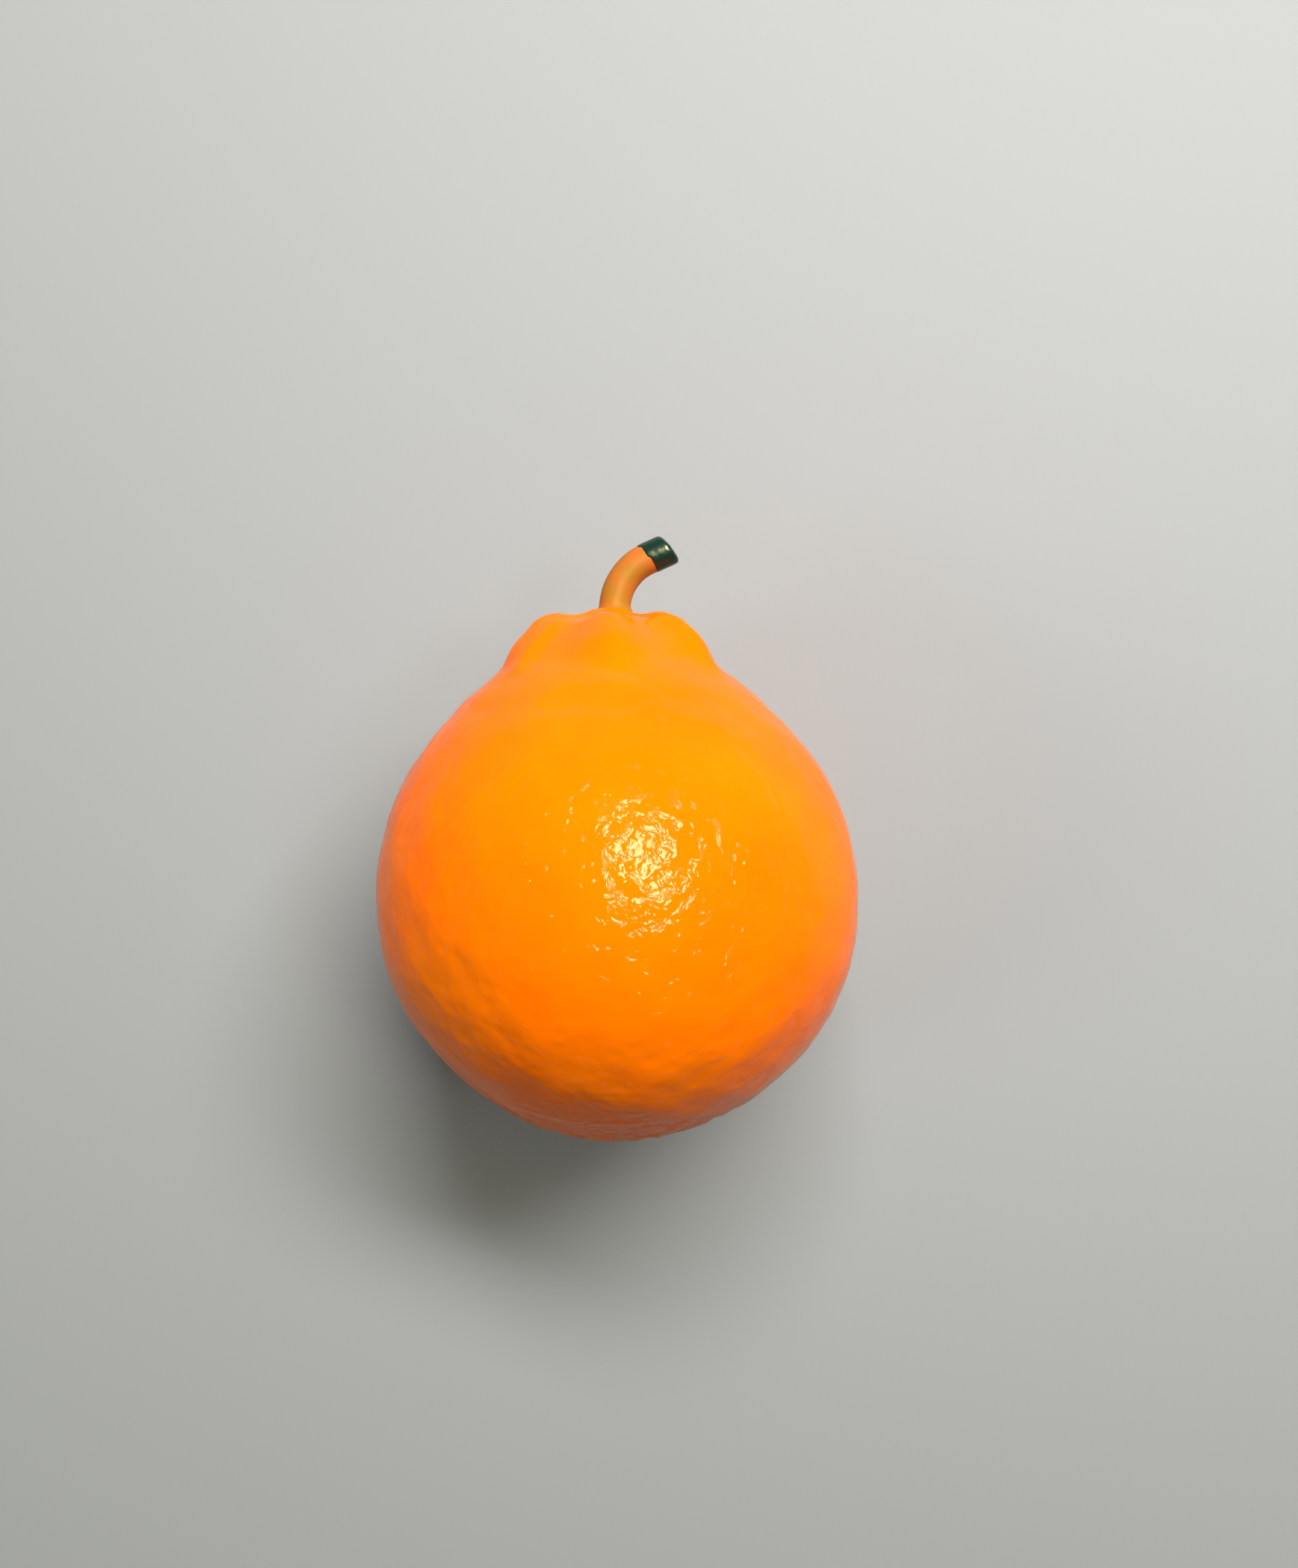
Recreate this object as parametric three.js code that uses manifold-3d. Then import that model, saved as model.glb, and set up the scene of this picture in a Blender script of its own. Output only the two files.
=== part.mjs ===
// A mandarin of the kind with a ribbed neck, lying on its side: the fruit with its neck,
// the bent stem that stands in a hole on top of the neck, and the stem's dark green end.
// Millimetres, +Z up. The fruit's own axis lies along +Y, with the stem at its far end.
// The origin is the middle of the small flat spot that the fruit rests on.

import * as THREE from "three";
import { mergeVertices } from "three/addons/utils/BufferGeometryUtils.js";
import Module from "manifold-3d";

const wasm = await Module();
wasm.setup();

// The fruit. Stations are distances along its axis from the widest section, positive towards the stem.
const WIDTH = 76.4;
const BELLY_RADIUS = WIDTH / 2;
const BASE_LENGTH = 38; // widest section to the blossom end
const SHOULDER_ANGLE = THREE.MathUtils.degToRad(48); // where the round belly gives way to the shoulder
const NECK_BASE = 34; // station where the ribs begin to rise
const WAIST = 38; // station of the neck's waist, where the ribs stand at full height
const MOUND_TOP = 45.5; // station of the little mound that carries the stem
const LEAN = 0.014; // the axis leans towards -X by this slope

// The shoulder, the waist, the neck's wall, its rim and the hollow round the mound: radius, station.
const NECK_OUTLINE = [
  [22.5, 31.9],
  [20.6, 33.5],
  [18.9, 35.1],
  [17.6, 36.6],
  [16.5, WAIST],
  [15.3, 39.4],
  [13.7, 40.8],
  [12.3, 42.0],
  [11.0, 42.9],
  [9.4, 43.3],
  [7.6, 43.2],
  [5.8, 43.7],
  [4.4, 44.6],
  [3.4, 45.3],
  [1.6, MOUND_TOP],
  [0, MOUND_TOP],
];

// The neck's ribs: the angle of each crest, in degrees from +Z towards +X, its height and its half-width.
const RIBS = [
  { at: 3, height: 1.0, halfWidth: 19 },
  { at: 57, height: 1.2, halfWidth: 15 },
  { at: 117, height: 0.95, halfWidth: 18 },
  { at: 178, height: 1.1, halfWidth: 17 },
  { at: 238, height: 1.15, halfWidth: 15 },
  { at: 298, height: 1.35, halfWidth: 15 },
];
const RIB_RELIEF = 1.6; // groove to crest

// The peel: shallow pits spread evenly all over it, and broad swellings that take it off the true round.
const PIT_COUNT = 430;
const PIT_RADIUS = 2.5;
const PIT_DEPTH = 0.34;
const PIT_JITTER = 0.045; // of the belly's radius
const SWELLS = 5;
const SWELL_HEIGHT = 0.09;
const SWELL_LENGTH = 30; // crest to crest
const SCAR_RADIUS = 2.2; // the blossom end's scar, a small dent on the axis
const SCAR_DEPTH = 0.8;

// The flat spot lies under the centre of mass, a little nearer to the stem than the widest section.
const FLAT_RADIUS = 8.5;
const REST_STATION = 1.3;
const REST_HEIGHT = Math.sqrt(BELLY_RADIUS ** 2 - FLAT_RADIUS ** 2);

// The stem: straight in its hole, then bent round to +X, with the green end beyond the bend.
const STEM_RADIUS = 2.55;
const STEM_X = 0.3;
const STEM_ROOT = 41.2;
const STEM_BEND_START = 45.3;
const STEM_BEND_RADIUS = 9;
const STEM_BEND = THREE.MathUtils.degToRad(67);
const TIP_RADIUS = 2.65;
const TIP_LENGTH = 3.6;
const TIP_EDGE = 0.45; // rounding of the cut end's edge
const TIP_DOME = 0.35; // how far the cut end swells out
const TIP_SLANT = 0.2; // the cut runs off square by this slope
const GAP = 0.3; // between pieces that touch
const HOLE_CUT = 10; // the hole's cutter reaches this far up, clear of the mound

const RINGS_BELOW = 25;
const RINGS_SHOULDER = 13;
const RINGS_NECK = 20;
const SIDES = 86;
const STEM_SIDES = 24;
const STEM_STEPS = 14;
const SEED = 20;

// A repeatable random number from 0 to 1, one more at each call.
function randomFrom(seed) {
  let state = seed;
  return () => {
    state = (state + 0x6d2b79f5) | 0;
    let t = Math.imul(state ^ (state >>> 15), 1 | state);
    t = (t + Math.imul(t ^ (t >>> 7), 61 | t)) ^ t;
    return ((t ^ (t >>> 14)) >>> 0) / 4294967296;
  };
}

// A geometry's closed surface as a solid for cutting, and the way back.
function solidFrom(geometry) {
  geometry.deleteAttribute("normal");
  geometry.deleteAttribute("uv");
  const merged = mergeVertices(geometry, 1e-3);
  return new wasm.Manifold(
    new wasm.Mesh({
      numProp: 3,
      vertProperties: merged.attributes.position.array,
      triVerts: new Uint32Array(merged.index.array),
    }),
  );
}

function geometryFrom(solid) {
  const mesh = solid.getMesh();
  const geometry = new THREE.BufferGeometry();
  geometry.setAttribute("position", new THREE.BufferAttribute(mesh.vertProperties, 3));
  geometry.setIndex(new THREE.BufferAttribute(mesh.triVerts, 1));
  geometry.computeVertexNormals();
  return geometry;
}

// The fruit's outline from the blossom end to the mound: an elliptical base, a round belly,
// and one smooth curve over the shoulder, the neck and its rim.
function outlinePoints() {
  const base = new THREE.EllipseCurve(0, 0, BELLY_RADIUS, BASE_LENGTH, -Math.PI / 2, 0);
  const belly = new THREE.EllipseCurve(0, 0, BELLY_RADIUS, BELLY_RADIUS, 0, SHOULDER_ANGLE);
  const neck = new THREE.SplineCurve([
    belly.getPoint(1),
    ...NECK_OUTLINE.map(([radius, station]) => new THREE.Vector2(radius, station)),
  ]);
  const points = [
    ...base.getSpacedPoints(RINGS_BELOW),
    ...belly.getSpacedPoints(RINGS_SHOULDER).slice(1),
    ...neck.getSpacedPoints(RINGS_NECK).slice(1),
  ];
  points[0].x = 0;
  points[points.length - 1].x = 0;
  return points;
}

// Pit centres on the unit sphere, along a golden spiral and a little off it.
function pitCentres(random) {
  const turn = Math.PI * (3 - Math.sqrt(5));
  return Array.from({ length: PIT_COUNT }, (_, i) => {
    const y = 1 - (2 * i + 1) / PIT_COUNT;
    const r = Math.sqrt(1 - y * y);
    const off = () => (random() - 0.5) * 2 * PIT_JITTER;
    return new THREE.Vector3(r * Math.cos(i * turn) + off(), y + off(), r * Math.sin(i * turn) + off()).normalize();
  });
}

// Broad waves over the peel, each in its own direction.
function swellWaves(random) {
  return Array.from({ length: SWELLS }, () => ({
    along: new THREE.Vector3(random() - 0.5, random() - 0.5, random() - 0.5).normalize(),
    phase: random() * 2 * Math.PI,
  }));
}

// Height of the ribs at an angle round the neck, from about -1 in a groove to 1 on a crest.
function ribHeight(angle) {
  const degrees = THREE.MathUtils.radToDeg(angle);
  const sum = RIBS.reduce((height, rib) => {
    const off = THREE.MathUtils.euclideanModulo(degrees - rib.at + 180, 360) - 180;
    return height + rib.height * Math.exp(-((off / rib.halfWidth) ** 2));
  }, 0);
  return 2 * sum - 1;
}

// The fruit's skin: the outline turned round the axis, then raised and sunk along its normals.
function fruitGeometry() {
  const random = randomFrom(SEED);
  const pits = pitCentres(random);
  const waves = swellWaves(random);
  const geometry = new THREE.LatheGeometry(outlinePoints(), SIDES);
  geometry.deleteAttribute("uv");
  const position = geometry.attributes.position;
  const normal = geometry.attributes.normal;
  const point = new THREE.Vector3();
  const outward = new THREE.Vector3();
  const heading = new THREE.Vector3();
  for (let i = 0; i < position.count; i++) {
    point.fromBufferAttribute(position, i);
    outward.fromBufferAttribute(normal, i);
    const radius = Math.hypot(point.x, point.z);
    const station = point.y;
    heading.copy(point).normalize();

    const onNeck = THREE.MathUtils.smoothstep(station, NECK_BASE, WAIST + 1);
    const offMound = THREE.MathUtils.smoothstep(radius, 3.6, 8);
    let lift = 0.5 * RIB_RELIEF * onNeck * offMound * ribHeight(Math.atan2(point.x, point.z));

    const onPeel = 1 - THREE.MathUtils.smoothstep(station, NECK_BASE - 3, WAIST);
    for (const pit of pits) {
      const away = (heading.distanceTo(pit) * BELLY_RADIUS) / PIT_RADIUS;
      if (away < 3) lift -= PIT_DEPTH * onPeel * Math.exp(-away * away);
    }
    for (const wave of waves)
      lift += SWELL_HEIGHT * onPeel * Math.sin((2 * Math.PI * point.dot(wave.along)) / SWELL_LENGTH + wave.phase);
    if (station < 0) lift -= SCAR_DEPTH * Math.exp(-((radius / SCAR_RADIUS) ** 2));

    point.addScaledVector(outward, lift);
    point.x -= LEAN * station;
    position.setXYZ(i, point.x, point.y, point.z);
  }
  closeSeams(position, outlinePoints().length);
  return geometry;
}

// The lathe's first and last columns meet, and each end of the outline is one point on the axis.
function closeSeams(position, rings) {
  const copy = (from, to) => position.setXYZ(to, position.getX(from), position.getY(from), position.getZ(from));
  for (let ring = 0; ring < rings; ring++) copy(ring, SIDES * rings + ring);
  for (let side = 0; side <= SIDES; side++)
    for (const end of [side * rings, side * rings + rings - 1]) {
      position.setX(end, 0);
      position.setZ(end, 0);
      position.setY(end, position.getY(end % rings));
    }
}

// The hole that the stem stands in, and the block that the flat spot is cut with.
function stemHole() {
  const hole = new THREE.CylinderGeometry(STEM_RADIUS + GAP, STEM_RADIUS + GAP, HOLE_CUT, STEM_SIDES);
  hole.translate(STEM_X, STEM_ROOT - GAP + HOLE_CUT / 2, 0);
  return hole;
}

function belowFlatSpot() {
  const block = new THREE.BoxGeometry(WIDTH, WIDTH, BELLY_RADIUS);
  block.translate(0, 0, -REST_HEIGHT - BELLY_RADIUS / 2);
  return block;
}

// The stem's centreline: up the hole, then round the bend.
class StemLine extends THREE.Curve {
  getPoint(t) {
    const straight = STEM_BEND_START - STEM_ROOT;
    const run = t * (straight + STEM_BEND_RADIUS * STEM_BEND);
    if (run <= straight) return new THREE.Vector3(STEM_X, STEM_ROOT + run, 0);
    const turned = (run - straight) / STEM_BEND_RADIUS;
    return new THREE.Vector3(
      STEM_X + STEM_BEND_RADIUS * (1 - Math.cos(turned)),
      STEM_BEND_START + STEM_BEND_RADIUS * Math.sin(turned),
      0,
    );
  }
}

function stemGeometry() {
  const section = new THREE.Shape();
  section.absarc(0, 0, STEM_RADIUS, 0, 2 * Math.PI);
  return new THREE.ExtrudeGeometry(section, {
    steps: STEM_STEPS,
    curveSegments: STEM_SIDES / 2,
    extrudePath: new StemLine(),
    bevelEnabled: false,
  });
}

// The green end, turned about its own +Y: straight sides, a rounded edge and a slightly swollen cut.
function tipGeometry() {
  const shoulder = TIP_LENGTH - TIP_DOME - TIP_EDGE;
  const edge = new THREE.EllipseCurve(TIP_RADIUS - TIP_EDGE, shoulder, TIP_EDGE, TIP_EDGE, 0, Math.PI / 2);
  const dome = new THREE.QuadraticBezierCurve(
    edge.getPoint(1),
    new THREE.Vector2(TIP_RADIUS / 2, TIP_LENGTH),
    new THREE.Vector2(0, TIP_LENGTH),
  );
  const geometry = new THREE.LatheGeometry(
    [
      new THREE.Vector2(0, 0),
      new THREE.Vector2(TIP_RADIUS, 0),
      new THREE.Vector2(TIP_RADIUS, shoulder / 2),
      ...edge.getPoints(3),
      ...dome.getPoints(4).slice(1),
    ],
    STEM_SIDES,
  );
  const position = geometry.attributes.position;
  for (let i = 0; i < position.count; i++) {
    const share = position.getY(i) / TIP_LENGTH;
    position.setY(i, position.getY(i) + TIP_SLANT * share * position.getX(i));
  }
  return geometry;
}

function material(name, color, roughness) {
  return new THREE.MeshStandardMaterial({ name, color, roughness, metalness: 0 });
}

function piece(name, geometry, skin) {
  const mesh = new THREE.Mesh(geometry, skin);
  mesh.name = name;
  return mesh;
}

const fruitSolid = solidFrom(fruitGeometry())
  .subtract(solidFrom(stemHole()))
  .subtract(solidFrom(belowFlatSpot()));
const fruit = piece("fruit", geometryFrom(fruitSolid), material("peel", 0xff8c00, 0.3));

const stem = piece("stem", stemGeometry(), material("stem_skin", 0xe39a4c, 0.45));

const stemTip = piece("stem_tip", tipGeometry(), material("stem_end", 0x1e3a28, 0.25));
const stemEnd = new StemLine().getPoint(1);
const stemHeading = new THREE.Vector3(Math.sin(STEM_BEND), Math.cos(STEM_BEND), 0);
stemTip.position.copy(stemEnd).addScaledVector(stemHeading, GAP);
stemTip.rotation.z = -STEM_BEND;

const mandarin = new THREE.Group();
mandarin.name = "mandarin";
mandarin.add(fruit, stem, stemTip);
mandarin.position.set(0, -REST_STATION, REST_HEIGHT);

export default mandarin;
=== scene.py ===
# %% [markdown]
# A mandarin with a ribbed neck, lying on its side
#
# This lesson dresses a part whose plain solids are already made. They give the overall size and
# place, and each cell here makes one visible piece or finish over them. There are three pieces:
# the fruit, the orange stem that bends out of its neck, and the stem's dark green end.
# Everything is in metres, so millimetres get a name.

import math

import bpy
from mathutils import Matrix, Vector


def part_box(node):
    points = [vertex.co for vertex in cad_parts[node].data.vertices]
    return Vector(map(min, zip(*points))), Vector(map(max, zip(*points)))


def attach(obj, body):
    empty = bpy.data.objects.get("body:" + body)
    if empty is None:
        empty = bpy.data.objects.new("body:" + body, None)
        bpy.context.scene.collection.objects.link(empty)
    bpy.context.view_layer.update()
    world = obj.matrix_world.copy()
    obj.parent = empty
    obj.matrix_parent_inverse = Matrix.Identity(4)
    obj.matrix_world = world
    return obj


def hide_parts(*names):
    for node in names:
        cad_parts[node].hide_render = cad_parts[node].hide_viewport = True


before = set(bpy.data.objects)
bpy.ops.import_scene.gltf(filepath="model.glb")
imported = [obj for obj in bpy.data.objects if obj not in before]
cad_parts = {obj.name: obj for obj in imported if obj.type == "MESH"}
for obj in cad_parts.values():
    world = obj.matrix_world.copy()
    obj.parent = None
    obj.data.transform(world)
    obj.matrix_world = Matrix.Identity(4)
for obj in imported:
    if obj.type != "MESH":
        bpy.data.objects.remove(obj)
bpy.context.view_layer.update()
MM = 0.001

# %% [markdown]
# The fruit's axis runs along +Y at the height where the stem lies, and the belly's centre is on
# it, where the widest section is. Most shapes below are told by a station, which is how far a
# point lies from that section towards the stem.

# %% Sizes that the pieces share
BELLY_RADIUS = 38.2 * MM
BELLY_Y = -1.3 * MM
stem_low, stem_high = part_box("stem")
AXIS_HEIGHT = (stem_low.z + stem_high.z) / 2
BELLY_CENTRE = Vector((0, BELLY_Y, AXIS_HEIGHT))
STEM_RADIUS = (stem_high.z - stem_low.z) / 2
print("axis height, in mm:", round(AXIS_HEIGHT / MM, 2))

# %% [markdown]
# Operators act on whatever is selected, and the frame comes in selected. So each step first
# takes hold of one piece alone. Faces and points are then picked in code, by their place.


# %% Take hold of one piece, pick its points, apply a modifier
def take(piece):
    """Leaves edit mode and selects this piece alone."""
    if bpy.context.mode != "OBJECT":
        bpy.ops.object.mode_set(mode="OBJECT")
    bpy.ops.object.select_all(action="DESELECT")
    piece.select_set(True)
    bpy.context.view_layer.objects.active = piece


def pick(piece, kind, chosen):
    """In edit mode, selects only the vertices or faces for which chosen is true."""
    bpy.ops.mesh.select_mode(type="VERT" if kind == "vertices" else "FACE")
    bpy.ops.mesh.select_all(action="DESELECT")
    bpy.ops.object.mode_set(mode="OBJECT")
    for element in getattr(piece.data, "vertices" if kind == "vertices" else "polygons"):
        element.select = chosen(element)
    bpy.ops.object.mode_set(mode="EDIT")


def finish_with(piece, kind, **settings):
    """Adds a modifier of this kind to the piece and applies it."""
    take(piece)
    modifier = piece.modifiers.new(kind.lower(), kind)
    for name, value in settings.items():
        setattr(modifier, name, value)
    bpy.ops.object.modifier_apply(modifier=modifier.name)


def settle(piece):
    """Puts the object's place into its mesh, and tells the size of the mesh."""
    take(piece)
    bpy.ops.object.transform_apply(location=True, rotation=True, scale=True)
    bpy.ops.object.shade_smooth()
    print(piece.name, "has", len(piece.data.polygons), "faces")


# %% [markdown]
# The fruit. On the real thing this is one grown body: a round belly, a shoulder, and a neck
# with blunt ribs that run up to the stem. It could be remeshed from the part's solid, but an
# even net of squares takes reflections better, so a cube is blown up to a ball, its top is drawn
# out into a neck, and the net is then shrunk on to a merged copy of the solid's skin.

# %% A merged copy of the solid's skin to shrink on to
SKIN_GAP = 0.002 * MM

solid_skin = bpy.data.objects.new("solid_skin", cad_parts["fruit"].data.copy())
bpy.context.scene.collection.objects.link(solid_skin)
take(solid_skin)
bpy.ops.object.mode_set(mode="EDIT")
bpy.ops.mesh.select_all(action="SELECT")
bpy.ops.mesh.remove_doubles(threshold=SKIN_GAP)
take(solid_skin)
print("the solid's skin has", len(solid_skin.data.vertices), "points after merging")

# %% Blow a cube up to a ball
CAGE_CUTS = 14
CUBE_SIDE = 1.2 * BELLY_RADIUS
BALL_OVERSIZE = 1.02

bpy.ops.mesh.primitive_cube_add(size=CUBE_SIDE, location=BELLY_CENTRE)
fruit = bpy.context.active_object
fruit.name = "mandarin"
bpy.ops.object.mode_set(mode="EDIT")
bpy.ops.mesh.subdivide(number_cuts=CAGE_CUTS)
bpy.ops.transform.tosphere(value=1.0)
take(fruit)
ball_radius = max(v.co.length for v in fruit.data.vertices)
bpy.ops.object.mode_set(mode="EDIT")
bpy.ops.mesh.select_all(action="SELECT")
bpy.ops.transform.resize(value=(BALL_OVERSIZE * BELLY_RADIUS / ball_radius,) * 3)
take(fruit)
bpy.ops.object.transform_apply(location=True, rotation=True, scale=True)
print("the ball's box, in mm:", [round(x / MM, 1) for x in fruit.dimensions])

# %% Draw the neck out of the ball's stem side
NECK_PATCH = 17.5 * MM
# Each draw: its rise in mm, and the factors that narrow it and flatten it.
NECK_DRAWS = [
    (3.0, 0.92, 0.5),
    (3.0, 0.85, 0.3),
    (2.8, 0.72, 0.3),
    (0.7, 0.55, 0.5),
    (1.4, 0.65, 1.0),
    (0.9, 0.50, 1.0),
]


def on_neck_patch(face):
    off = face.center - BELLY_CENTRE
    return off.y > 0 and math.hypot(off.x, off.z) < NECK_PATCH


bpy.ops.object.mode_set(mode="EDIT")
pick(fruit, "faces", on_neck_patch)
for rise, narrower, flatter in NECK_DRAWS:
    bpy.ops.mesh.extrude_region_move(TRANSFORM_OT_translate={"value": (0, rise * MM, 0)})
    bpy.ops.transform.resize(value=(narrower, flatter, narrower))
take(fruit)
print("with its neck it is", round(fruit.dimensions.y / MM, 1), "mm long")

# %% [markdown]
# Some steps act on part of a piece only. Parts could be selected by hand, but a weight that
# fades from 1 to 0 leaves no edge where a step ends. So these helpers turn a rule on a point's
# place into a vertex group, which a modifier then follows.


# %% A weight over part of the piece
def station(point):
    """How far a point lies from the widest section towards the stem."""
    return point.y - BELLY_CENTRE.y


def smooth_step(value, low, high):
    """0 up to the low value, 1 from the high one, and a soft rise between them."""
    t = min(1.0, max(0.0, (value - low) / (high - low)))
    return t * t * (3 - 2 * t)


def band(value, starts, full, fades, ends):
    """Rises from 0 to 1 between the first two values, and falls back between the last two."""
    return smooth_step(value, starts, full) * (1 - smooth_step(value, fades, ends))


def weigh(piece, name, share):
    """Makes a vertex group whose weight is share(point), from 0 to 1."""
    group = piece.vertex_groups.new(name=name)
    for vertex in piece.data.vertices:
        group.add([vertex.index], share(vertex.co), "REPLACE")


# %% Shrink the net on to the solid's skin
NECK_STATION = 30 * MM
NECK_RISE = 4 * MM
NECK_LEFT_ALONE = 0.96
SMOOTHING_PASSES = 7


def on_neck(point):
    """1 on the neck, 0 on the belly."""
    return smooth_step(station(point), NECK_STATION, NECK_STATION + NECK_RISE)


finish_with(fruit, "SUBSURF", levels=2, render_levels=2)
finish_with(fruit, "SHRINKWRAP", target=solid_skin, wrap_method="NEAREST_SURFACEPOINT")
weigh(fruit, "belly", lambda point: 1 - NECK_LEFT_ALONE * on_neck(point))
finish_with(fruit, "SMOOTH", factor=0.5, iterations=SMOOTHING_PASSES, vertex_group="belly")
finish_with(fruit, "SUBSURF", levels=1, render_levels=1)
bpy.data.objects.remove(solid_skin)
settle(fruit)

# %% [markdown]
# The neck's soft forms. On the real thing the shoulder swells just below the neck, so the neck
# starts in a crease, each rib has a blunt crest, and the skin sinks between the ribs. They could
# be pulled up by hand in sculpt mode, but a weight and a push along the normals give the same
# result each time. Angles are told in degrees round the axis, from straight up towards +X.

# %% Where the shoulder, the crests and the grooves are
CREASE_STATION = 33.4 * MM
SHOULDER_STARTS = 22 * MM
SHOULDER_FULL = 30 * MM
SHOULDER_DROP = 3.2 * MM
SHOULDER_ON_TOP = 0.35
# Each rib and groove: its angle in degrees, and its share of the full height or depth.
RIBS = ((3, 0.4), (54, 0.9), (117, 0.6), (178, 0.6), (238, 0.6), (313, 1.0))
GROOVES = (
    (31, 0.4),
    (77, 0.8),
    (95, 0.4),
    (147, 0.6),
    (208, 0.6),
    (262, 0.3),
    (291, 0.6),
    (335, 0.4),
)
CREST_HALF_WIDTH = 10
GROOVE_HALF_WIDTH = 22
CREST_RAMP = 2 * MM
CRESTS_FADE = 42.4 * MM
CRESTS_END = 43.8 * MM
GROOVE_RAMP = 3 * MM
GROOVES_FADE = 41.0 * MM
GROOVES_END = 43.5 * MM


def off_axis_angle(point):
    return math.degrees(math.atan2(point.x, point.z - BELLY_CENTRE.z)) % 360


def fade(angle, middle, half_width):
    """1 at the middle angle, falling evenly to 0 at the half width."""
    return max(0.0, 1 - abs((angle - middle + 180) % 360 - 180) / half_width)


def nearest_share(point, marks, half_width):
    angle = off_axis_angle(point)
    return max(share * fade(angle, middle, half_width) for middle, share in marks)


def shoulder_share(point):
    """Full at the two sides, and less on top and underneath."""
    along = band(
        station(point),
        SHOULDER_STARTS,
        SHOULDER_FULL,
        CREASE_STATION - SHOULDER_DROP,
        CREASE_STATION,
    )
    sideways = abs(math.sin(math.radians(off_axis_angle(point))))
    return along * (SHOULDER_ON_TOP + (1 - SHOULDER_ON_TOP) * sideways)


def crest_share(point):
    along = band(
        station(point), CREASE_STATION, CREASE_STATION + CREST_RAMP, CRESTS_FADE, CRESTS_END
    )
    return along * nearest_share(point, RIBS, CREST_HALF_WIDTH)


def groove_share(point):
    along = band(
        station(point), CREASE_STATION, CREASE_STATION + GROOVE_RAMP, GROOVES_FADE, GROOVES_END
    )
    return along * nearest_share(point, GROOVES, GROOVE_HALF_WIDTH)


print("the neck has", len(RIBS), "ribs and", len(GROOVES), "grooves")

# %% Push the shoulder and the crests out, and the grooves in
SHOULDER_SWELL = 0.3 * MM
CREST_HEIGHT = 0.5 * MM
GROOVE_DEPTH = 0.9 * MM

weigh(fruit, "shoulder", shoulder_share)
weigh(fruit, "crests", crest_share)
weigh(fruit, "grooves", groove_share)
for group, push in (
    ("shoulder", SHOULDER_SWELL),
    ("crests", CREST_HEIGHT),
    ("grooves", -GROOVE_DEPTH),
):
    finish_with(fruit, "DISPLACE", strength=push, mid_level=0, vertex_group=group)
print("with its soft forms it is", [round(x / MM, 1) for x in fruit.dimensions], "mm")

# %% [markdown]
# The peel's relief. Up close the peel is never smooth: it has broad soft swellings, oil glands
# that sink as small round pits, and wrinkles that are strong round the blossom end and faint
# elsewhere. They could be only a bump in the material, but the uneven outline needs real shape,
# so three displacements press them in. A weight keeps the flat spot flat, and the neck smoother
# than the belly.

# %% Where the relief may act
RELIEF_STARTS = 0.15 * MM
RELIEF_FULL = 1.6 * MM
NECK_SHARE = 0.5
BELLY_SHARE = 0.08
WRINKLES_FULL = -35 * MM
WRINKLES_FADED = -29.5 * MM


def relief_share(point):
    """0 on the flat spot that the fruit rests on, 1 above it, and less on the neck."""
    above_flat = smooth_step(point.z, RELIEF_STARTS, RELIEF_FULL)
    return above_flat * (1 - (1 - NECK_SHARE) * on_neck(point))


def wrinkle_share(point):
    at_blossom = 1 - smooth_step(station(point), WRINKLES_FULL, WRINKLES_FADED)
    return relief_share(point) * (BELLY_SHARE + (1 - BELLY_SHARE) * at_blossom)


weigh(fruit, "relief", relief_share)
weigh(fruit, "wrinkled", wrinkle_share)
print("the relief is weighed on", len(fruit.data.vertices), "points")

# %% Press the swellings, pits and wrinkles in
SWELLING_SIZE = 8 * MM
SWELLING_HEIGHT = 0.17 * MM
PIT_SIZE = 2.4 * MM
PIT_DEPTH = 0.06 * MM
PIT_FLOOR = 0.08
PIT_RIM = 0.5
WRINKLE_SIZE = 2.2 * MM
WRINKLE_HEIGHT = 1.0 * MM
WRINKLE_LEVEL = 0.62


def relief_texture(name, kind, size, **settings):
    texture = bpy.data.textures.new(name, kind)
    texture.noise_scale = size
    for setting, value in settings.items():
        setattr(texture, setting, value)
    return texture


soft_noise = {"noise_depth": 1, "noise_basis": "IMPROVED_PERLIN"}
swellings = relief_texture("swellings", "CLOUDS", SWELLING_SIZE, **soft_noise)
wrinkles = relief_texture("wrinkles", "CLOUDS", WRINKLE_SIZE, **soft_noise)
pits = relief_texture("pits", "VORONOI", PIT_SIZE, use_color_ramp=True)
pits.color_ramp.interpolation = "EASE"
for element, place, shade in zip(pits.color_ramp.elements, (PIT_FLOOR, PIT_RIM), (0.0, 1.0)):
    element.position = place
    element.color = (shade, shade, shade, 1)

for texture, height, level, where in (
    (swellings, SWELLING_HEIGHT, 0.5, "relief"),
    (pits, PIT_DEPTH, 1.0, "relief"),
    (wrinkles, WRINKLE_HEIGHT, WRINKLE_LEVEL, "wrinkled"),
):
    finish_with(
        fruit,
        "DISPLACE",
        texture=texture,
        texture_coords="LOCAL",
        strength=height,
        mid_level=level,
        vertex_group=where,
    )
print("after the relief it is", [round(x / MM, 1) for x in fruit.dimensions], "mm")

# %% [markdown]
# Where the wax is dimpled. The wax over the peel has finer dimples still, which break up the
# highlight. As shape they would take far more faces than the fruit has, so the material bumps
# them. But low on the sides and on the neck a full bump looks like leather, so each point carries
# a mark that says how dimpled it is, and the material reads that mark.

# %% Mark how dimpled each point is
DIMPLED_TO = 12 * MM
SMOOTH_FROM = 27 * MM
NECK_DIMPLES = 0.3
SIDE_DIMPLES = 0.25
BLOSSOM_FULL = -34 * MM
BLOSSOM_FADED = -28 * MM
UPPER_FROM = 26 * MM
UPPER_FULL = 34 * MM


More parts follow.
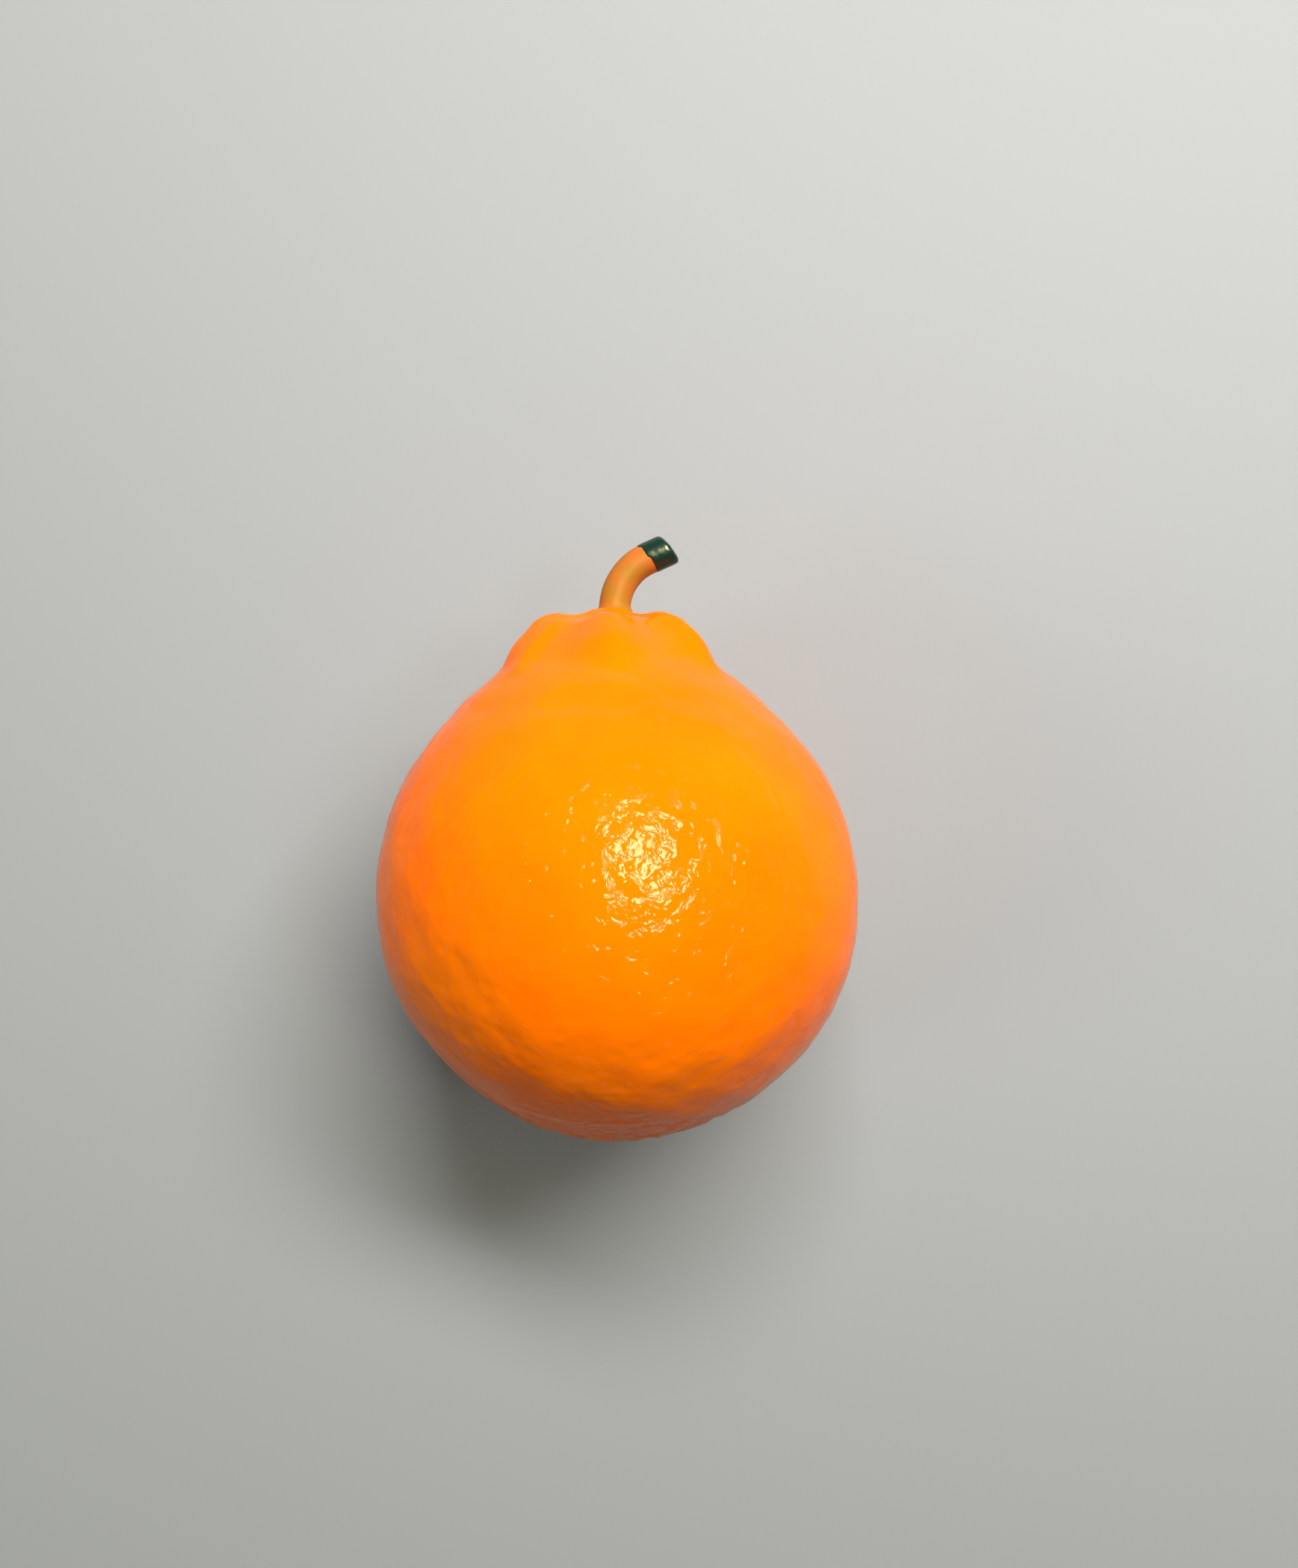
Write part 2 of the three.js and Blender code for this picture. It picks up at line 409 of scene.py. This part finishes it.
def dimple_share(point):
    """Full on the upper side and round the blossom end, less on the neck and low on the sides."""
    towards_neck = smooth_step(station(point), DIMPLED_TO, SMOOTH_FROM)
    at_blossom = 1 - smooth_step(station(point), BLOSSOM_FULL, BLOSSOM_FADED)
    upper = smooth_step(point.z - BELLY_CENTRE.z, UPPER_FROM, UPPER_FULL)
    belly = SIDE_DIMPLES + (1 - SIDE_DIMPLES) * max(upper, at_blossom)
    return belly + (NECK_DIMPLES - belly) * towards_neck


dimpled = fruit.data.attributes.new(name="dimpled", type="FLOAT", domain="POINT")
for vertex in fruit.data.vertices:
    dimpled.data[vertex.index].value = dimple_share(vertex.co)
print("marked", len(dimpled.data), "points")

# %% [markdown]
# The stem. It leaves the neck straight and then bends over to one side, of one thickness but for
# a flare where it grows out of the neck. A curve with a bevel would do, but a swept circle keeps
# its rings square to the bend and free to be shaped one by one. So a disc is extruded up, spun
# round the bend's centre, and drawn a little further on. Slanting cuts then part the orange stem
# from the green end.

# %% Sweep the stem's tube
STEM_X = 0.3 * MM
STEM_ROOT = stem_low.y
BEND_START = 44.0 * MM
BEND_RADIUS = 9 * MM
BEND_ANGLE = math.radians(67)
BEND_CENTRE = Vector((STEM_X + BEND_RADIUS, BEND_START, AXIS_HEIGHT))
HEADING = Vector((math.sin(BEND_ANGLE), math.cos(BEND_ANGLE), 0))
TUBE_SIDES = 32
TUBE_STEP = 0.6 * MM
STEPS_PAST_BEND = 8
RING_TOLERANCE = 0.01 * MM

bpy.ops.mesh.primitive_circle_add(
    vertices=TUBE_SIDES,
    radius=STEM_RADIUS,
    fill_type="NGON",
    location=(STEM_X, STEM_ROOT, AXIS_HEIGHT),
    rotation=(-math.pi / 2, 0, 0),
)
stem = bpy.context.active_object
stem.name = "bent_stem"
bpy.ops.object.transform_apply(location=True, rotation=True, scale=True)
bpy.ops.object.mode_set(mode="EDIT")
bpy.ops.mesh.select_all(action="SELECT")
straight_steps = round((BEND_START - STEM_ROOT) / TUBE_STEP)
straight_step = (BEND_START - STEM_ROOT) / straight_steps
for _ in range(straight_steps):
    bpy.ops.mesh.extrude_region_move(TRANSFORM_OT_translate={"value": (0, straight_step, 0)})
bpy.ops.mesh.spin(
    steps=round(BEND_RADIUS * BEND_ANGLE / TUBE_STEP),
    angle=BEND_ANGLE,
    center=BEND_CENTRE,
    axis=(0, 0, 1),
)
for _ in range(STEPS_PAST_BEND):
    bpy.ops.mesh.extrude_region_move(TRANSFORM_OT_translate={"value": HEADING * TUBE_STEP})
bpy.ops.mesh.select_all(action="SELECT")
bpy.ops.mesh.remove_doubles(threshold=RING_TOLERANCE)
bpy.ops.mesh.normals_make_consistent(inside=False)
take(stem)
print("the tube's box, in mm:", [round(x / MM, 1) for x in stem.dimensions])

# %% Flare the root
FLARE_ENDS = 46.2 * MM
FLARE = 0.42

bpy.ops.object.mode_set(mode="EDIT")
rings = sorted({round(v.co.y, 6) for v in stem.data.vertices if v.co.y < BEND_START + RING_TOLERANCE})
for ring in rings:
    widening = 1 + FLARE * (1 - smooth_step(ring, STEM_ROOT, FLARE_ENDS))
    pick(stem, "vertices", lambda vertex: abs(vertex.co.y - ring) < RING_TOLERANCE)
    bpy.ops.transform.resize(value=(widening, 1, widening))
take(stem)
print("the root is flared on", len(rings), "rings")

# %% Part the stem from its green end with slanting cuts
GREEN_START = Vector((5.65, 52.08, 0)) * MM + Vector((0, 0, AXIS_HEIGHT))
GREEN_SLANT = math.radians(39)
GREEN_END = Vector((9.05, 53.6, 0)) * MM + Vector((0, 0, AXIS_HEIGHT))
END_SLANT = math.radians(38)
STEM_REACH = 1.2 * MM
DIP_THICKNESS = 0.08 * MM


def slant(angle):
    """The level direction that lies this far round from +X."""
    return (math.cos(angle), math.sin(angle), 0)


def cut(piece, place, direction, **side):
    take(piece)
    bpy.ops.object.mode_set(mode="EDIT")
    bpy.ops.mesh.select_all(action="SELECT")
    bpy.ops.mesh.bisect(plane_co=place, plane_no=direction, use_fill=True, **side)
    take(piece)


green_end = stem.copy()
green_end.data = stem.data.copy()
green_end.name = "green_end"
bpy.context.scene.collection.objects.link(green_end)
cut(stem, GREEN_START + STEM_REACH * HEADING, slant(GREEN_SLANT), clear_outer=True)
cut(green_end, GREEN_START, slant(GREEN_SLANT), clear_inner=True)
cut(green_end, GREEN_END, slant(END_SLANT), clear_outer=True)
bpy.ops.object.mode_set(mode="EDIT")
bpy.ops.mesh.select_all(action="SELECT")
bpy.ops.transform.shrink_fatten(value=DIP_THICKNESS)
take(green_end)
print("green end's box, in mm:", [round(x / MM, 1) for x in green_end.dimensions])

# %% Round and swell the green end's cut
# Each step: how far in, and how far out of the cut, both in mm.
SWELL_STEPS = ((0.35, 0.28), (0.6, 0.16), (0.8, 0.06))
SQUARE_ON = 0.99
SIDE_CORNERS = 8
end_normal = Vector(slant(END_SLANT))


def is_end_cut(face):
    """The cut faces along the slant, and has more corners than a face of the tube's side."""
    return face.normal.dot(end_normal) > SQUARE_ON and len(face.vertices) > SIDE_CORNERS


bpy.ops.object.mode_set(mode="EDIT")
pick(green_end, "faces", is_end_cut)
for inward, outward in SWELL_STEPS:
    bpy.ops.mesh.inset(thickness=inward * MM)
    bpy.ops.transform.translate(value=end_normal * outward * MM)
take(green_end)
for piece in (stem, green_end):
    finish_with(piece, "SUBSURF", levels=1, render_levels=1)
    settle(piece)

# %% [markdown]
# Finishes. A painted image could give the colours, but it would have to be unwrapped. Here each
# finish is a Principled shader instead, and its colour and bump come from noise on the piece's
# own coordinates, so they have no seam. Colours below are linear red, green and blue.


# %% Helpers for the finishes
def new_material(name, colour, roughness):
    material = bpy.data.materials.new(name)
    material.use_nodes = True
    shader = material.node_tree.nodes["Principled BSDF"]
    shader.inputs["Base Color"].default_value = (*colour, 1)
    shader.inputs["Roughness"].default_value = roughness
    return material, shader


def noise(material, size, detail=2.0, kind="ShaderNodeTexNoise"):
    """A noise with features of this size in metres, on the piece's own coordinates."""
    nodes = material.node_tree.nodes
    place = nodes.new("ShaderNodeTexCoord")
    texture = nodes.new(kind)
    texture.inputs["Scale"].default_value = 1 / size
    texture.inputs["Detail"].default_value = detail
    material.node_tree.links.new(place.outputs["Object"], texture.inputs["Vector"])
    return texture


def ramp(material, source, stops):
    node = material.node_tree.nodes.new("ShaderNodeValToRGB")
    elements = node.color_ramp.elements
    for element, (position, colour) in zip(elements, stops):
        element.position = position
        element.color = (*colour, 1)
    material.node_tree.links.new(source, node.inputs["Fac"])
    return node.outputs["Color"]


def bump(material, source, height, below=None):
    links = material.node_tree.links
    node = material.node_tree.nodes.new("ShaderNodeBump")
    node.inputs["Strength"].default_value = 1
    node.inputs["Distance"].default_value = height
    links.new(source, node.inputs["Height"])
    if below:
        links.new(below, node.inputs["Normal"])
    return node.outputs["Normal"]


# %% [markdown]
# The peel is a strong orange that drifts slightly in hue, under a clear, glossy wax. It could
# have its gloss in the orange itself, but a coat of its own lets the wax be dimpled while the
# colour beneath stays even.

# %% The peel
BLUSH_SIZE = 22 * MM
GLAND_PITCH = 2.0 * MM
GLAND_DEPTH = 0.12 * MM
DIMPLE_SIZE = 2.4 * MM
DIMPLE_DEPTH = 0.62 * MM
BLUSH = [(0.35, (1.0, 0.152, 0.0)), (0.65, (1.0, 0.178, 0.0))]
GLAND_WALL = [(0.05, (0, 0, 0)), (0.35, (1, 1, 1))]

peel, peel_shader = new_material("peel", (1.0, 0.165, 0.0), 0.5)
peel_shader.inputs["Specular IOR Level"].default_value = 0.0
peel_shader.inputs["Coat Weight"].default_value = 0.6
peel_shader.inputs["Coat Roughness"].default_value = 0.08
peel_shader.inputs["Coat IOR"].default_value = 1.3
peel_tree = peel.node_tree
blush = noise(peel, BLUSH_SIZE)
peel_tree.links.new(ramp(peel, blush.outputs["Fac"], BLUSH), peel_shader.inputs["Base Color"])

gland = noise(peel, GLAND_PITCH, detail=0, kind="ShaderNodeTexVoronoi")
gland_wall = ramp(peel, gland.outputs["Distance"], GLAND_WALL)
dimple = noise(peel, DIMPLE_SIZE, detail=3)
dimple.inputs["Distortion"].default_value = 0.6
pitted = bump(peel, gland_wall, GLAND_DEPTH)
wax = bump(peel, dimple.outputs["Fac"], DIMPLE_DEPTH, below=pitted)
peel_tree.links.new(wax, peel_shader.inputs["Coat Normal"])

dimple_mark = peel_tree.nodes.new("ShaderNodeAttribute")
dimple_mark.attribute_name = "dimpled"
for node in peel_tree.nodes:
    if node.type == "BUMP":
        peel_tree.links.new(dimple_mark.outputs["Fac"], node.inputs["Strength"])
print("the peel's finish has", len(peel_tree.nodes), "nodes")

# %% [markdown]
# The stem is a duller brownish orange with soft patches, and its end looks dipped in a dark
# green, glossy paint. Both have a fine grain, as a plain colour would look like plastic.

# %% The stem's skin and its green end
PATCH_SIZE = 4 * MM
STEM_GRAIN_SIZE = 1.2 * MM
STEM_GRAIN_DEPTH = 0.05 * MM
GREEN_GRAIN_SIZE = 1.0 * MM
GREEN_GRAIN_DEPTH = 0.08 * MM
STEM_PATCHES = [(0.36, (0.36, 0.15, 0.012)), (0.64, (0.52, 0.13, 0.02))]


def add_grain(material, shader, size, depth):
    grain = noise(material, size)
    normal = bump(material, grain.outputs["Fac"], depth)
    material.node_tree.links.new(normal, shader.inputs["Normal"])


stem_skin, stem_shader = new_material("stem_skin", (0.6, 0.24, 0.02), 0.5)
stem_shader.inputs["Specular IOR Level"].default_value = 0.12
patches = noise(stem_skin, PATCH_SIZE, detail=1)
patch_colour = ramp(stem_skin, patches.outputs["Fac"], STEM_PATCHES)
stem_skin.node_tree.links.new(patch_colour, stem_shader.inputs["Base Color"])
add_grain(stem_skin, stem_shader, STEM_GRAIN_SIZE, STEM_GRAIN_DEPTH)

green_skin, green_shader = new_material("green_skin", (0.006, 0.026, 0.016), 0.3)
green_shader.inputs["Specular IOR Level"].default_value = 0.2
green_shader.inputs["Coat Weight"].default_value = 0.25
green_shader.inputs["Coat Roughness"].default_value = 0.1
add_grain(green_skin, green_shader, GREEN_GRAIN_SIZE, GREEN_GRAIN_DEPTH)
print("made", stem_skin.name, "and", green_skin.name)

# %% [markdown]
# Each piece now takes its finish, rides on the part's one body, and stands for its node among
# the solids, whose own mesh is hidden.

# %% Put the pieces in the part's place
for piece, node, slot, material in (
    (fruit, "fruit", "peel", peel),
    (stem, "stem", "stem_skin", stem_skin),
    (green_end, "stem_tip", "stem_end", green_skin),
):
    piece.data.materials.clear()
    piece.data.materials.append(material)
    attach(piece, "root")
    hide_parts(node)
    print(piece.name, "replaces", node)

# %% [markdown]
# The floor. A plain pale plane, far wider than what the camera sees of it from above. A bent
# backdrop would hide its far edge in a low view, but the camera of this scene looks down.

# %% Floor
FLOOR_SIDE = 6

bpy.ops.mesh.primitive_plane_add(size=FLOOR_SIDE, location=(0, 0, 0))
floor = bpy.context.active_object
floor.name = "floor"
floor_paint, _ = new_material("floor_paint", (0.306, 0.308, 0.309), 0.9)
floor.data.materials.append(floor_paint)
print("the floor is", FLOOR_SIDE, "m wide")

# %% [markdown]
# The lamps. A broad one from the stem's side gives most of the light and the soft shadow, and
# two weak ones fill the sides. None of these shows in the gloss. One more lamp makes only the
# highlight on the belly, so its size and colour can be set without changing the shadow. One
# lamp could do both jobs, but then a small highlight would mean a hard shadow.


# %% Lamps
def lamp(name, off_vertical, azimuth, distance, across, power, in_gloss):
    """A soft light aimed at the belly, so many degrees off the vertical and round from +X."""
    tilt, turn = math.radians(off_vertical), math.radians(azimuth)
    towards = Vector(
        (math.sin(tilt) * math.cos(turn), math.sin(tilt) * math.sin(turn), math.cos(tilt))
    )
    bpy.ops.object.light_add(type="AREA", location=BELLY_CENTRE + distance * towards)
    light = bpy.context.active_object
    light.name = name
    light.rotation_euler = towards.to_track_quat("Z", "Y").to_euler()
    light.data.shape = "DISK"
    light.data.size = across
    light.data.energy = power
    light.visible_glossy = in_gloss
    return light


broad = lamp(
    "broad_light",
    off_vertical=39.5,
    azimuth=66,
    distance=0.65,
    across=0.54,
    power=8.4,
    in_gloss=False,
)
broad.data.shape = "RECTANGLE"
broad.data.size_y = 0.13
lamp(
    "side_light",
    off_vertical=27,
    azimuth=0,
    distance=0.9,
    across=0.2,
    power=1.2,
    in_gloss=False,
)
far = lamp(
    "far_light",
    off_vertical=52,
    azimuth=190,
    distance=0.9,
    across=0.3,
    power=1.5,
    in_gloss=False,
)
far.data.color = (0.8, 1.0, 0.9)
spark = lamp(
    "highlight_lamp",
    off_vertical=24,
    azimuth=50,
    distance=1.2,
    across=0.43,
    power=54.0,
    in_gloss=True,
)
spark.data.shape = "ELLIPSE"
spark.data.size_y = 0.76
spark.rotation_euler.rotate_axis("Z", math.radians(40))
spark.data.color = (1.0, 0.93, 0.5)
spark.visible_diffuse = False
print("the broad light gives", broad.data.energy, "W")

# %% [markdown]
# The room. Walls send some light back, so the world is grey: brightest low down, dim overhead,
# and dimmer on the blossom's side than on the stem's. A picture of a studio could do this, but
# two plain fades on the direction are enough.

# %% Room light
# Each stop: how high, and how bright.
WALL_STOPS = ((0.05, 0.3), (0.4, 0.03))
WALL_RED = 0.95

world = bpy.data.worlds.new("room")
bpy.context.scene.world = world
world.use_nodes = True
room = world.node_tree
room_light = room.nodes["Background"]
looking = room.nodes.new("ShaderNodeTexCoord")
way = room.nodes.new("ShaderNodeSeparateXYZ")
walls = room.nodes.new("ShaderNodeValToRGB")
stem_side = room.nodes.new("ShaderNodeMapRange")
for element, (position, shade) in zip(walls.color_ramp.elements, WALL_STOPS):
    element.position = position
    element.color = (WALL_RED * shade, shade, shade, 1)
for name, value in (("From Min", -0.7), ("From Max", 0.2), ("To Min", 0.35), ("To Max", 1.0)):
    stem_side.inputs[name].default_value = value
room.links.new(looking.outputs["Generated"], way.inputs["Vector"])
room.links.new(way.outputs["Z"], walls.inputs["Fac"])
room.links.new(walls.outputs["Color"], room_light.inputs["Color"])
room.links.new(way.outputs["Y"], stem_side.inputs["Value"])
room.links.new(stem_side.outputs["Result"], room_light.inputs["Strength"])
print("the room has", len(room.nodes), "nodes")

# %% [markdown]
# The camera looks straight down, as in the photograph, and stands close. Further off, with a
# longer lens, it would show the fruit as large but flatter.

# %% Camera, straight above as in the photograph
CAMERA_PLACE = Vector((5.22, 16.10, 219.1)) * MM
CAMERA_ROLL = math.radians(-1.2)

bpy.ops.object.camera_add(location=CAMERA_PLACE, rotation=(0, 0, CAMERA_ROLL))
camera = bpy.context.active_object
camera.data.sensor_width = 36
camera.data.lens = 26
camera.data.clip_start = 1 * MM
bpy.context.scene.camera = camera
bpy.context.scene.view_settings.view_transform = "Standard"
print("the camera stands", round(CAMERA_PLACE.z / MM), "mm up")
